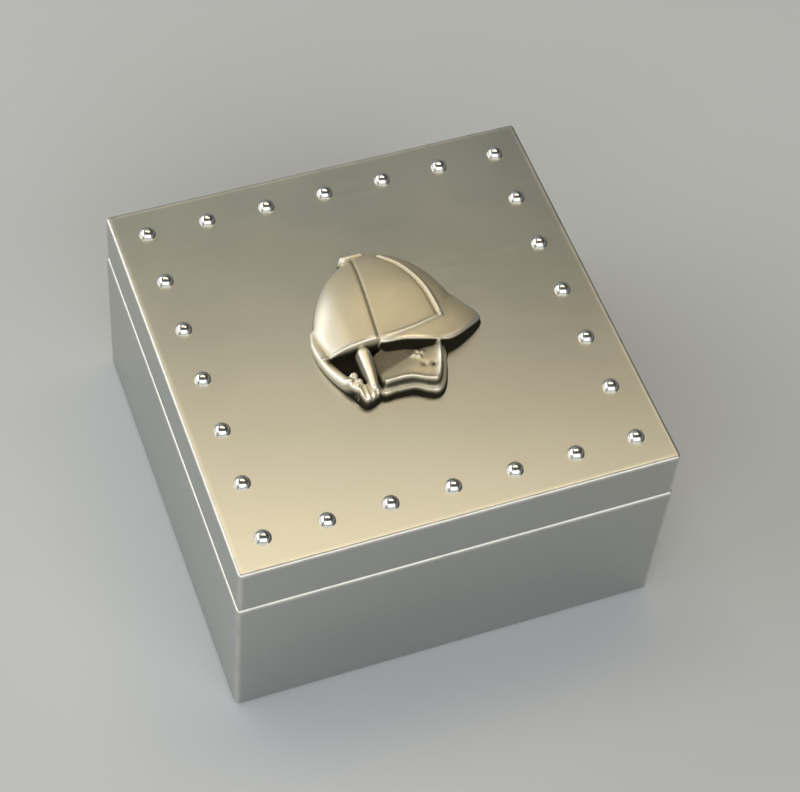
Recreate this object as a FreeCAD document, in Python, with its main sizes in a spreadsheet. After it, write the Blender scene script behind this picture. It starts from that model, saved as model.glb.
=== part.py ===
"""A square metal keepsake box with a hinged, studded lid and a cast riding helmet on top.

Millimetres. The origin is the middle of the underside, +Z is up and the front is -Y.
"""
import FreeCAD, Part
import os
import re
import Sketcher
from math import pi

# Driving dimensions, kept in the document's spreadsheet under these names.
SIZES = {
    # Lid and base, both folded from the same sheet
    "sheet": 1.0,
    "lid_side": 90.0,
    "lid_height": 12.2,
    "lid_edge_radius": 0.7,
    "base_height": 36.6,
    "base_proud": 0.3,
    "rim_radius": 0.7,
    "corner_radius": 0.8,
    "seam_gap": 0.2,
    "floor_thickness": 1.0,
    # Felt under the base and velvet panels inside
    "felt_thickness": 1.3,
    "felt_proud": 0.3,
    "felt_margin": 0.6,
    "lining_thickness": 1.0,
    "lining_drop": 0.8,
    "floor_pad_thickness": 1.6,
    "lid_pad_thickness": 1.6,
    "lid_pad_margin": 0.4,
    "pad_edge_radius": 0.35,
    "glue_gap": 0.05,
    # Hinge sunk flush into the back
    "pin_radius": 0.6,
    "pin_clearance": 0.05,
    "knuckle_wall": 0.7,
    "knuckle_gap": 0.2,
    "barrel_margin": 5.3,
    "barrel_clearance": 0.27,
    "leaf_thickness": 0.7,
    "leaf_height": 7.0,
    "hinge_relief_degrees": 52.0,
    # Flush rivets that hold the hinge leaves
    "rivet_radius": 0.75,
    "rivet_head_radius": 1.3,
    "rivet_head_depth": 0.5,
    "rivet_distance": 4.4,
    # Domed studs round the lid
    "stud_inset": 6.9,
    "stud_radius": 1.7,
    "stud_rise": 1.45,
    "stud_shank_radius": 0.7,
    # Cast helmet: the crown is half an ellipsoid that lies on the lid
    "helmet_x": 0.6,
    "helmet_y": -5.8,
    "helmet_half_width": 16.1,
    "helmet_rise": 24.9,
    "helmet_relief": 6.2,
    "hollow_wall": 1.5,
    "piping_width": 0.9,
    "piping_proud": 0.35,
    "seam_width": 0.5,
    "seam_depth": 0.3,
    "ridge_width": 0.9,
    "button_half_length": 2.9,
    "button_radius": 1.1,
    "button_rise": 3.0,
    "rosette_radius": 1.3,
    # Screws that hold the helmet from inside the lid
    "screw_radius": 1.0,
    "screw_depth": 2.5,
    "screw_head_radius": 1.9,
    "screw_head_height": 0.9,
    "screw_slot_width": 0.5,
    "screw_slot_depth": 0.4,
    "screw_pocket_clearance": 0.2,
    # Fits and cuts
    "fit_clearance": 0.03,
    "overrun": 1.0,
}

STUDS_PER_SIDE = 7
KNUCKLES = 7
RIVETS_PER_LEAF = 4

# Places and sizes that follow from the driving dimensions.
DERIVED = {
    "base_side": "lid_side + 2 * base_proud",
    "base_inner": "base_side - 2 * sheet",
    "lid_inner": "lid_side - 2 * sheet",
    "lid_bottom": "base_height + seam_gap",
    "lid_top": "lid_bottom + lid_height",
    "lid_roof": "lid_height - sheet",
    "floor_top": "felt_thickness + floor_thickness",
    "wall_panel_top": "base_height - lining_drop",
    "barrel_radius": "pin_radius + pin_clearance + knuckle_wall",
    "slot_half": "barrel_radius + barrel_clearance",
    "axis_y": "base_side / 2 - barrel_radius",
    "axis_z": "base_height + seam_gap / 2",
    "groove_reach": "barrel_radius + overrun",
    "barrel_length": "base_side - 2 * barrel_margin",
    "knuckle_pitch": f"(barrel_length + knuckle_gap) / {KNUCKLES}",
    "knuckle_length": "knuckle_pitch - knuckle_gap",
    "rivet_pitch": f"barrel_length / {RIVETS_PER_LEAF}",
    "stud_ring": "lid_side / 2 - stud_inset",
    "stud_pitch": f"2 * stud_ring / {STUDS_PER_SIDE - 1}",
    "wall_panel_width": "base_inner - 2 * glue_gap",
    "front_panel_y": "-base_inner / 2 + glue_gap",
    "back_panel_y": "base_inner / 2 - leaf_thickness - glue_gap - lining_thickness",
    "side_panel_start": "front_panel_y + lining_thickness + glue_gap",
    "side_panel_length": "back_panel_y - glue_gap - side_panel_start",
    "side_panel_x": "(base_inner - lining_thickness) / 2 - glue_gap",
    "floor_pad_width": "wall_panel_width - 2 * (lining_thickness + glue_gap)",
    "lid_pad_side": "lid_inner - 2 * lid_pad_margin",
}

# Helmet outlines: shares of helmet_half_width and helmet_rise, from the middle of the crown's base.
RIM_SHARE = 0.064
HOLLOW_REACH_SHARE = 0.2
PEAK_SHARES = [
    (-0.26, 0.06), (0.09, -0.01), (0.49, -0.07), (0.68, -0.07), (0.93, 0.01),
    (1.12, 0.10), (1.12, 0.17), (0.98, 0.29), (0.86, 0.43), (0.34, 0.31),
]
PEAK_DOME_MIDDLE_SHARES = (0.21, 0.15)
PEAK_DOME_SHARES = (1.0, 0.40, 0.81)
FRONT_RIDGE_SHARES = [(0.27, 0.88), (0.55, 0.59), (0.66, 0.31), (0.62, 0.13)]
CENTRE_SEAM_SHARES = [(-0.17, 0.99), (-0.19, 0.55), (-0.25, 0.05)]
BUTTON_SHARES = (-0.10, 0.98)
ROSETTE_SHARES = (0.17, -0.13)
SCREW_SHARES = [(-0.23, 0.51), (0.40, 0.51)]

# Flat-topped forms of the harness: height as a share of helmet_relief, then the outline.
PLATE_HEIGHT_SHARE = 0.16
CUP_HEIGHT_SHARE = 0.50
HARNESS_SHARES = {
    "back plate": (PLATE_HEIGHT_SHARE, [
        (-0.94, 0.19), (-0.88, -0.05), (-0.76, -0.22), (-0.67, -0.41), (-0.44, -0.38),
        (-0.07, -0.41), (0.21, -0.46), (0.37, -0.39), (0.50, -0.13), (0.65, 0.07),
        (0.58, 0.31), (-0.84, 0.31),
    ]),
    "rear strap": (0.55, [
        (-0.98, 0.27), (-1.01, 0.13), (-0.96, -0.04), (-0.81, -0.23), (-0.73, -0.29),
        (-0.66, -0.23), (-0.79, -0.06), (-0.86, 0.13), (-0.84, 0.27),
    ]),
    "side strap": (0.68, [
        (-0.53, 0.09), (-0.55, -0.10), (-0.57, -0.31),
        (-0.43, -0.31), (-0.40, -0.10), (-0.39, 0.09),
    ]),
    "knot": (0.52, [
        (-0.68, -0.27), (-0.67, -0.42), (-0.48, -0.39), (-0.39, -0.27), (-0.53, -0.23),
    ]),
    "chin strap": (0.77, [
        (-0.39, -0.30), (-0.37, -0.37), (-0.07, -0.41), (0.20, -0.46), (0.36, -0.41),
        (0.43, -0.27), (0.50, -0.09), (0.50, 0.03), (0.25, 0.02), (0.22, -0.19),
        (0.03, -0.27), (-0.19, -0.27),
    ]),
    "chin cup": (CUP_HEIGHT_SHARE, [
        (-0.32, -0.29), (-0.16, -0.11), (0.15, -0.01), (0.34, -0.01), (0.34, -0.25),
    ]),
}

ALONG_X = FreeCAD.Rotation(FreeCAD.Vector(0, 1, 0), 90)
ALONG_Y = FreeCAD.Rotation(FreeCAD.Vector(1, 0, 0), -90)
UPRIGHT = FreeCAD.Rotation()
NEARLY = FreeCAD.Base.Precision.confusion()

doc = FreeCAD.newDocument("keepsake_box")
sizes = doc.addObject("Spreadsheet::Sheet", "Sizes")
for row, (alias, size) in enumerate(SIZES.items(), start=1):
    sizes.set(f"A{row}", alias)
    sizes.set(f"B{row}", str(size))
    sizes.setAlias(f"B{row}", alias)
doc.recompute()


def formula(text):
    """Turns a sum of named sizes into an expression on the spreadsheet's cells."""
    def cell(match):
        name = match.group()
        if name in SIZES:
            return f"Sizes.{name}"
        if name in DERIVED:
            return f"({formula(DERIVED[name])})"
        return name
    return re.sub(r"[a-z_]+", cell, text)


def bind(item, **sums):
    """Binds properties of an object to sums of named sizes."""
    for name, text in sums.items():
        item.setExpression(name, formula(text))


def place(item, x="0", y="0", z="0", turned=UPRIGHT):
    """Places an object by sums of named sizes."""
    item.Placement = FreeCAD.Placement(FreeCAD.Vector(), turned)
    for axis, text in (("x", x), ("y", y), ("z", z)):
        item.setExpression(f"Placement.Base.{axis}", formula(text))


def new_body(label, x="0", y="0", z="0"):
    """Starts the sub-part with this label, at its place."""
    body = doc.addObject("PartDesign::Body", label)
    body.Label = label
    place(body, x, y, z)
    return body


def origin_feature(body, role):
    """Gives a plane or an axis of the body's own origin."""
    return next(feature for feature in body.Origin.OriginFeatures if feature.Role == role)


def box(body, name, width, depth, height, x="0", y="0", z="0", cut=False):
    """Adds or cuts a block that is centred on x, and starts at y and z."""
    kind = "SubtractiveBox" if cut else "AdditiveBox"
    block = body.newObject(f"PartDesign::{kind}", name)
    bind(block, Length=width, Width=depth, Height=height)
    place(block, f"{x} - ({width}) / 2", y, z)
    return block


def rod(body, name, radius, height, x="0", y="0", z="0", turned=UPRIGHT, cut=False):
    """Adds or cuts a cylinder."""
    kind = "SubtractiveCylinder" if cut else "AdditiveCylinder"
    cylinder = body.newObject(f"PartDesign::{kind}", name)
    bind(cylinder, Radius=radius, Height=height)
    place(cylinder, x, y, z, turned)
    return cylinder


def cone(body, name, near, far, height, x="0", y="0", z="0", turned=UPRIGHT, cut=False):
    """Adds or cuts a cone that runs from its near radius to its far one."""
    kind = "SubtractiveCone" if cut else "AdditiveCone"
    taper = body.newObject(f"PartDesign::{kind}", name)
    bind(taper, Radius1=near, Radius2=far, Height=height)
    place(taper, x, y, z, turned)
    return taper


def ring_of(body, name, original):
    """Repeats a corner feature along one side of the lid, and that side four times round."""
    ring = body.newObject("PartDesign::MultiTransform", name)
    side = body.newObject("PartDesign::LinearPattern", f"{name}_side")
    turns = body.newObject("PartDesign::PolarPattern", f"{name}_turns")
    ring.Originals = [original]
    side.Direction = (origin_feature(body, "X_Axis"), [""])
    side.Occurrences = STUDS_PER_SIDE - 1
    bind(side, Length=f"stud_pitch * {STUDS_PER_SIDE - 2}")
    turns.Axis = (origin_feature(body, "Z_Axis"), [""])
    turns.Angle = 360
    turns.Occurrences = 4
    ring.Transformations = [side, turns]
    body.Tip = ring


def square_sketch(body, name, side):
    """Draws a square about the body's Z axis."""
    sketch = body.newObject("Sketcher::SketchObject", name)
    sketch.AttachmentSupport = [(origin_feature(body, "XY_Plane"), "")]
    sketch.MapMode = "FlatFace"
    corners = [FreeCAD.Vector(x, y) for x, y in ((-1, -1), (1, -1), (1, 1), (-1, 1))]
    for start, end in zip(corners, corners[1:] + corners[:1]):
        sketch.addGeometry(Part.LineSegment(start, end))
    for line in range(4):
        sketch.addConstraint(Sketcher.Constraint("Coincident", line, 2, (line + 1) % 4, 1))
        sketch.addConstraint(Sketcher.Constraint("Vertical" if line % 2 else "Horizontal", line))
    sketch.addConstraint(Sketcher.Constraint("Symmetric", 0, 1, 2, 1, -1, 1))
    for kind, line, name in (("DistanceX", 0, "width"), ("DistanceY", 1, "depth")):
        index = sketch.addConstraint(Sketcher.Constraint(kind, line, 1, line, 2, 2))
        sketch.renameConstraint(index, name)
        sketch.setExpression(f"Constraints.{name}", formula(side))
    return sketch


def pad(body, name, sketch, height):
    """Raises a sketch into a solid."""
    solid = body.newObject("PartDesign::Pad", name)
    solid.Profile = sketch
    bind(solid, Length=height)
    return solid


def pocket_up(body, name, sketch, depth):
    """Cuts upwards from a sketch."""
    hollow = body.newObject("PartDesign::Pocket", name)
    hollow.Profile = sketch
    hollow.Reversed = True
    bind(hollow, Length=depth)


def is_upright(edge, solid):
    """True for an edge that runs along Z."""
    bounds = edge.BoundBox
    return bounds.ZLength > max(bounds.XLength, bounds.YLength)


def is_top(edge, solid):
    """True for an edge of the top face."""
    return all(abs(corner.Z - solid.BoundBox.ZMax) < NEARLY for corner in edge.Vertexes)


def is_bottom(edge, solid):
    """True for an edge of the bottom face."""
    return all(abs(corner.Z - solid.BoundBox.ZMin) < NEARLY for corner in edge.Vertexes)


def fillet(body, name, base, wanted, radius):
    """Rounds the edges of a feature that the wanted test picks."""
    doc.recompute()
    edges = enumerate(base.Shape.Edges, start=1)
    rounding = body.newObject("PartDesign::Fillet", name)
    rounding.Base = (base, [f"Edge{number}" for number, edge in edges if wanted(edge, base.Shape)])
    bind(rounding, Radius=radius)
    return rounding


def hinge_groove(body, height):
    """Cuts the mitred groove along the back, and the slot that the hinge barrel lies in."""
    sketch = body.newObject("Sketcher::SketchObject", f"{body.Label}_groove_profile")
    sketch.AttachmentSupport = [(origin_feature(body, "YZ_Plane"), "")]
    sketch.MapMode = "FlatFace"
    sketch.setExpression("AttachmentOffset.Base.x", formula("axis_y"))
    sketch.setExpression("AttachmentOffset.Base.y", formula(height))
    apex, high, low = (FreeCAD.Vector(*corner) for corner in ((0, 0), (1, 1), (1, -1)))
    for start, end in ((apex, high), (high, low), (low, apex)):
        sketch.addGeometry(Part.LineSegment(start, end))
    for line in range(3):
        sketch.addConstraint(Sketcher.Constraint("Coincident", line, 2, (line + 1) % 3, 1))
    sketch.addConstraint(Sketcher.Constraint("Coincident", 0, 1, -1, 1))
    sketch.addConstraint(Sketcher.Constraint("Symmetric", 1, 1, 1, 2, -1))
    for kind, line, ends, name, size in (
            ("DistanceX", 0, (1, 2), "reach", "groove_reach"),
            ("DistanceY", 1, (2, 1), "mouth", "2 * groove_reach * tan(hinge_relief_degrees)")):
        index = sketch.addConstraint(Sketcher.Constraint(kind, line, ends[0], line, ends[1], 1))
        sketch.renameConstraint(index, name)
        sketch.setExpression(f"Constraints.{name}", formula(size))
    groove = body.newObject("PartDesign::Pocket", f"{body.Label}_groove")
    groove.Profile = sketch
    groove.Midplane = True
    bind(groove, Length="base_side + 2 * overrun")
    box(body, f"{body.Label}_barrel_slot", "barrel_length + 2 * knuckle_gap",
        "slot_half + groove_reach", "2 * slot_half",
        y="axis_y - slot_half", z=f"{height} - slot_half", cut=True)


def rivet_places():
    """Gives the rivets' places along a hinge leaf, as sums of named sizes."""
    for number in range(RIVETS_PER_LEAF):
        yield f"rivet_pitch * {number - (RIVETS_PER_LEAF - 1) / 2}"


def rivet_holes(body, outer_face, height):
    """Drills and countersinks the back wall for the rivets of a hinge leaf."""
    for number, x in enumerate(rivet_places(), start=1):
        rod(body, f"{body.Label}_rivet_hole_{number}", "rivet_radius + fit_clearance",
            "sheet + 2 * overrun", x, f"{outer_face} - sheet - overrun", height, ALONG_Y, cut=True)
        cone(body, f"{body.Label}_rivet_sink_{number}", "rivet_radius + fit_clearance",
             "rivet_head_radius + fit_clearance", "rivet_head_depth",
             x, f"{outer_face} - rivet_head_depth", height, ALONG_Y, cut=True)


def base_walls():
    """Four folded walls with a rounded rim."""
    body = new_body("base_walls", z="felt_proud")
    block = pad(body, "walls_block", square_sketch(body, "walls_outline", "base_side"),
                "base_height - felt_proud")
    corners = fillet(body, "walls_corners", block, is_upright, "corner_radius")
    fillet(body, "walls_rim", corners, is_top, "rim_radius")
    pocket_up(body, "walls_hollow", square_sketch(body, "walls_inside", "base_inner"),
              "base_height + overrun")
    hinge_groove(body, "axis_z - felt_proud")
    rivet_holes(body, "base_side / 2", "axis_z - felt_proud - rivet_distance")


def base_floor():
    """The bottom plate, let in between the walls."""
    body = new_body("base_floor", z="felt_thickness")
    pad(body, "floor_plate", square_sketch(body, "floor_outline", "base_inner - 2 * glue_gap"),
        "floor_thickness")


def base_felt():
    """Felt under the bottom plate, on which the box stands."""
    body = new_body("base_felt")
    sheet_of_felt = pad(body, "felt_sheet",
                        square_sketch(body, "felt_outline", "base_inner - 2 * felt_margin"),
                        "felt_thickness")
    fillet(body, "felt_corners", sheet_of_felt, is_upright, "corner_radius")


def panel(label, width, depth, height, x, y):
    """A velvet-covered board that stands on the bottom plate, with a rounded top."""
    body = new_body(label, z="floor_top")
    board = box(body, f"{label}_board", width, depth, height, x, y)
    fillet(body, f"{label}_edges", board, is_top, "pad_edge_radius")


def base_linings():
    """The boards on the four walls and the pad on the floor."""
    wall_height = "wall_panel_top - floor_top"
    back_height = "axis_z - slot_half - floor_top"
    panel("front_lining", "wall_panel_width", "lining_thickness", wall_height, "0", "front_panel_y")
    panel("back_lining", "wall_panel_width", "lining_thickness", back_height, "0", "back_panel_y")
    for label, x in (("left_lining", "-(side_panel_x)"), ("right_lining", "side_panel_x")):
        panel(label, "lining_thickness", "side_panel_length", wall_height, x, "side_panel_start")
    panel("floor_pad", "floor_pad_width", "side_panel_length", "floor_pad_thickness",
          "0", "side_panel_start")


def hinge_leaf(label, inner_face, first_knuckle, upward):
    """One hinge leaf with every second knuckle, made about the hinge axis."""
    body = new_body(label, y="axis_y", z="axis_z")
    leaf_y = f"{inner_face} - leaf_thickness - axis_y"
    box(body, f"{label}_plate", "barrel_length", "leaf_thickness", "leaf_height - slot_half",
        y=leaf_y, z="slot_half" if upward else "-leaf_height")
    for number in range(first_knuckle, KNUCKLES, 2):
        start = f"knuckle_pitch * {number} - barrel_length / 2"
        box(body, f"{label}_web_{number}", "knuckle_length", "leaf_thickness", "slot_half + knuckle_gap",
            f"{start} + knuckle_length / 2", leaf_y, "0" if upward else "-slot_half - knuckle_gap")
        rod(body, f"{label}_knuckle_{number}", "barrel_radius", "knuckle_length", start, turned=ALONG_X)
    rod(body, f"{label}_bore", "pin_radius + pin_clearance", "barrel_length + 2 * overrun",
        "-barrel_length / 2 - overrun", turned=ALONG_X, cut=True)
    for number, x in enumerate(rivet_places(), start=1):
        rod(body, f"{label}_rivet_hole_{number}", "rivet_radius + fit_clearance",
            "leaf_thickness + 2 * overrun", x, f"{leaf_y} - overrun",
            "rivet_distance" if upward else "-rivet_distance", ALONG_Y, cut=True)


def hinge_rivets(label, inner_face, height):
    """The rivets of one leaf, with countersunk heads filed flush with the back."""
    body = new_body(label, y="axis_y", z="axis_z")
    for number, x in enumerate(rivet_places(), start=1):
        rod(body, f"{label}_shank_{number}", "rivet_radius", "leaf_thickness + sheet",
            x, f"{inner_face} - leaf_thickness - axis_y", height, ALONG_Y)
        cone(body, f"{label}_head_{number}", "rivet_radius", "rivet_head_radius", "rivet_head_depth",
             x, f"{inner_face} + sheet - rivet_head_depth - axis_y", height, ALONG_Y)


def hinge_pin():
    """The pin through all the knuckles."""
    body = new_body("hinge_pin", y="axis_y", z="axis_z")
    rod(body, "pin_rod", "pin_radius", "barrel_length", "-barrel_length / 2", turned=ALONG_X)


def screw_places():
    """Gives the helmet screws' places on the lid, as sums of named sizes."""
    for x_share, y_share in SCREW_SHARES:
        yield f"helmet_x + helmet_half_width * {x_share}", f"helmet_y + helmet_rise * {y_share}"


def lid_shell():
    """The lid's top and skirt, with holes for the studs, the screws and the hinge rivets."""
    body = new_body("lid_shell", z="lid_bottom")
    block = pad(body, "lid_block", square_sketch(body, "lid_outline", "lid_side"), "lid_height")
    corners = fillet(body, "lid_corners", block, is_upright, "corner_radius")
    fillet(body, "lid_top_edge", corners, is_top, "lid_edge_radius")
    pocket_up(body, "lid_hollow", square_sketch(body, "lid_inside", "lid_inner"), "lid_roof")
    hinge_groove(body, "axis_z - lid_bottom")
    for number, (x, y) in enumerate(screw_places(), start=1):
        rod(body, f"lid_screw_hole_{number}", "screw_radius + fit_clearance", "sheet + 2 * overrun",
            x, y, "lid_roof - overrun", cut=True)
    rivet_holes(body, "lid_side / 2", "axis_z - lid_bottom + rivet_distance")
    hole = rod(body, "lid_stud_hole", "stud_shank_radius + fit_clearance", "sheet + 2 * overrun",
               "-stud_ring", "-stud_ring", "lid_roof - overrun", cut=True)
    ring_of(body, "lid_stud_holes", hole)


def lid_studs():
    """Domed studs whose shanks go through the lid and end flush inside."""
    body = new_body("lid_studs", z="lid_top")
    sketch = body.newObject("Sketcher::SketchObject", "stud_profile")
    sketch.AttachmentSupport = [(origin_feature(body, "XZ_Plane"), "")]
    sketch.MapMode = "FlatFace"
    sketch.setExpression("AttachmentOffset.Base.x", formula("-stud_ring"))
    sketch.setExpression("AttachmentOffset.Base.z", formula("stud_ring"))
    tail, tail_edge, shoulder, brim, crown = (
        FreeCAD.Vector(*corner) for corner in ((0, -1), (1, -1), (1, 0), (2, 0), (0, 2)))
    for start, end in ((crown, tail), (tail, tail_edge), (tail_edge, shoulder), (shoulder, brim)):
        sketch.addGeometry(Part.LineSegment(start, end))
    head = Part.Circle(FreeCAD.Vector(), FreeCAD.Vector(0, 0, 1), brim.Length)
    sketch.addGeometry(Part.ArcOfCircle(head, 0, pi / 2))
    for line, kind in enumerate(("Vertical", "Horizontal", "Vertical", "Horizontal")):
        sketch.addConstraint(Sketcher.Constraint(kind, line))
    for line in range(3):
        sketch.addConstraint(Sketcher.Constraint("Coincident", line, 2, line + 1, 1))
    sketch.addConstraint(Sketcher.Constraint("Coincident", 3, 2, 4, 1))
    sketch.addConstraint(Sketcher.Constraint("Coincident", 0, 1, 4, 2))
    sketch.addConstraint(Sketcher.Constraint("PointOnObject", 4, 3, -2))
    sketch.addConstraint(Sketcher.Constraint("PointOnObject", 0, 1, -2))
    sketch.addConstraint(Sketcher.Constraint("PointOnObject", 3, 1, -1))
    for kind, first, second, name, size in (
            ("DistanceX", (1, 1), (1, 2), "shank_radius", "stud_shank_radius"),
            ("DistanceY", (2, 1), (2, 2), "shank_length", "sheet"),
            ("DistanceX", (0, 1), (3, 2), "head_radius", "stud_radius"),
            ("DistanceY", (3, 2), (0, 1), "head_rise", "stud_rise")):
        index = sketch.addConstraint(Sketcher.Constraint(kind, *first, *second, 1))
        sketch.renameConstraint(index, name)
        sketch.setExpression(f"Constraints.{name}", formula(size))
    stud = body.newObject("PartDesign::Revolution", "stud")
    stud.Profile = sketch
    stud.ReferenceAxis = (sketch, ["V_Axis"])
    stud.Angle = 360
    ring_of(body, "stud_ring", stud)


def lid_pad():
    """The velvet-covered board inside the lid, with pockets over the screw heads."""
    body = new_body("lid_pad", z="lid_bottom + lid_roof - lid_pad_thickness")
    board = pad(body, "lid_pad_board", square_sketch(body, "lid_pad_outline", "lid_pad_side"),
                "lid_pad_thickness")
    fillet(body, "lid_pad_edges", board, is_bottom, "pad_edge_radius")
    for number, (x, y) in enumerate(screw_places(), start=1):
        rod(body, f"lid_pad_pocket_{number}", "screw_head_radius + screw_pocket_clearance",
            "screw_head_height + screw_pocket_clearance + overrun", x, y,
            "lid_pad_thickness - screw_head_height - screw_pocket_clearance", cut=True)


def helmet_screws():
    """Slotted screws, headed under the lid's top and driven into the casting."""
    body = new_body("helmet_screws", z="lid_bottom + lid_roof")
    for number, (x, y) in enumerate(screw_places(), start=1):
        rod(body, f"screw_shank_{number}", "screw_radius", "sheet + screw_depth", x, y)
        rod(body, f"screw_head_{number}", "screw_head_radius", "screw_head_height",
            x, y, "-screw_head_height")
        box(body, f"screw_slot_{number}", "screw_slot_width", "2 * (screw_head_radius + overrun)",
            "screw_slot_depth + overrun", x, f"{y} - screw_head_radius - overrun",
            "-screw_head_height - overrun", cut=True)


def helmet_point(shares, height=0):
    """Gives a place on the helmet, from shares of its half width and its rise."""
    return FreeCAD.Vector(sizes.helmet_half_width * shares[0], sizes.helmet_rise * shares[1], height)


def dome(grown=0):
    """The crown's whole ellipsoid, grown or shrunk all round."""
    matrix = FreeCAD.Matrix()
    matrix.scale(sizes.helmet_half_width + grown, sizes.helmet_rise + grown, sizes.helmet_relief + grown)
    return Part.makeSphere(1).transformGeometry(matrix)


def lump(middle, width, depth, height):
    """A small ellipsoid."""
    matrix = FreeCAD.Matrix()
    matrix.scale(width, depth, height)
    matrix.move(middle)
    return Part.makeSphere(1).transformGeometry(matrix)


def slab(low_y, high_y, low_z):
    """A block across the whole helmet, between two places along Y and up from a height."""
    reach = sizes.helmet_half_width + sizes.overrun
    corner = FreeCAD.Vector(-reach, low_y, low_z)
    return Part.makeBox(2 * reach, high_y - low_y, sizes.helmet_relief + sizes.overrun, corner)


def raised(shares, height):
    """A form with a smooth closed outline, raised from the lid."""
    outline = Part.BSplineCurve()
    outline.interpolate(Points=[helmet_point(share) for share in shares], PeriodicFlag=True)
    face = Part.Face(Part.Wire(outline.toShape()))
    return face.extrude(FreeCAD.Vector(0, 0, height))


def curtain(shares, width):
    """An upright band along a curve, through the whole height of the helmet."""
    curve = Part.BSplineCurve()
    curve.interpolate([helmet_point(share) for share in shares])
    band = curve.toShape().extrude(FreeCAD.Vector(width, 0, 0))
    return band.extrude(FreeCAD.Vector(0, 0, sizes.helmet_relief + sizes.overrun))


def helmet_crown():
    """The crown with its panel seams and piped rim, hollow under the rim."""
    rim = sizes.helmet_rise * RIM_SHARE
    plate_top = sizes.helmet_relief * PLATE_HEIGHT_SHARE
    half_piping = sizes.piping_width / 2
    hollow_end = rim + sizes.helmet_rise * HOLLOW_REACH_SHARE
    hollow = dome(-sizes.hollow_wall).common(slab(rim - sizes.overrun, hollow_end, plate_top))
    above_rim = slab(rim, sizes.helmet_rise + sizes.overrun, 0)
    groove = curtain(CENTRE_SEAM_SHARES, sizes.seam_width).cut(dome(-sizes.seam_depth))
    crown = dome().common(above_rim).cut(groove)
    ridge = curtain(FRONT_RIDGE_SHARES, sizes.ridge_width).common(dome(sizes.piping_proud))
    piping = dome(sizes.piping_proud).common(slab(rim - half_piping, rim + half_piping, 0))
    return crown.fuse([ridge, piping]).cut(hollow)


def helmet_peak():
    """The peak, hollow underneath."""
    rim = sizes.helmet_rise * RIM_SHARE
    middle = helmet_point(PEAK_DOME_MIDDLE_SHARES)
    half_width, rise, relief = (
        size * share for size, share in zip(
            (sizes.helmet_half_width, sizes.helmet_rise, sizes.helmet_relief), PEAK_DOME_SHARES))
    wall = sizes.hollow_wall
    peak = raised(PEAK_SHARES, sizes.helmet_relief).common(lump(middle, half_width, rise, relief))
    inside = lump(middle, half_width - wall, rise - wall, relief - wall)
    below_rim = slab(-sizes.helmet_rise, rim, sizes.helmet_relief * PLATE_HEIGHT_SHARE)
    return peak.cut(inside.common(below_rim))


def helmet():
    """The cast helmet, one piece with its harness, tapped from below for its screws."""
    cup_top = sizes.helmet_relief * CUP_HEIGHT_SHARE
    forms = [raised(outline, sizes.helmet_relief * height) for height, outline in HARNESS_SHARES.values()]
    above_lid = slab(-sizes.helmet_rise, 2 * sizes.helmet_rise, 0)
    button = lump(helmet_point(BUTTON_SHARES), sizes.button_half_length, sizes.button_radius,
                  sizes.button_rise).common(above_lid)
    rosette = lump(helmet_point(ROSETTE_SHARES, cup_top), *[sizes.rosette_radius] * 3).common(above_lid)
    casting = helmet_crown().fuse([helmet_peak(), button, rosette] + forms)
    for shares in SCREW_SHARES:
        hole = Part.makeCylinder(sizes.screw_radius + sizes.fit_clearance,
                                 sizes.screw_depth + sizes.fit_clearance + sizes.overrun,
                                 helmet_point(shares, -sizes.overrun))
        casting = casting.cut(hole)
    feature = doc.addObject("Part::Feature", "helmet")
    feature.Label = "helmet"
    feature.Shape = casting
    place(feature, "helmet_x", "helmet_y", "lid_top")


base_walls()
base_floor()
base_felt()
base_linings()
hinge_leaf("hinge_base_leaf", "base_inner / 2", 0, upward=False)
hinge_leaf("hinge_lid_leaf", "lid_inner / 2", 1, upward=True)
hinge_pin()
hinge_rivets("hinge_base_rivets", "base_inner / 2", "-rivet_distance")
hinge_rivets("hinge_lid_rivets", "lid_inner / 2", "rivet_distance")
lid_shell()
lid_studs()
lid_pad()
helmet_screws()
helmet()
doc.recompute()

for item in doc.Objects:
    if "Invalid" in item.State or "Error" in item.State:
        raise RuntimeError(f"{item.Label} failed: {item.State}")
sub_parts = [item for item in doc.Objects if item.TypeId in ("PartDesign::Body", "Part::Feature")]
for sub_part in sub_parts:
    if sub_part.Shape.isNull() or not sub_part.Shape.isValid():
        raise RuntimeError(f"{sub_part.Label} has no valid shape")

os.makedirs("parts", exist_ok=True)
for sub_part in sub_parts:
    sub_part.Shape.exportStep(f"parts/{sub_part.Label}.step")
    print(sub_part.Label, len(sub_part.Shape.Solids), "solids", round(sub_part.Shape.Volume, 2), "mm3")
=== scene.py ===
"""Dresses the square keepsake box: satin metal, polished studs, a cast helmet and a velvet lining.

Metres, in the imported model's frame: +Z is up and the front is -Y. The helmet's forms are drawn in
millimetres on the lid's top, from the lid's middle, and scaled when the mesh is made.
"""
import math

import bmesh
import bpy
import numpy as np
from mathutils import Matrix, Vector


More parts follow.
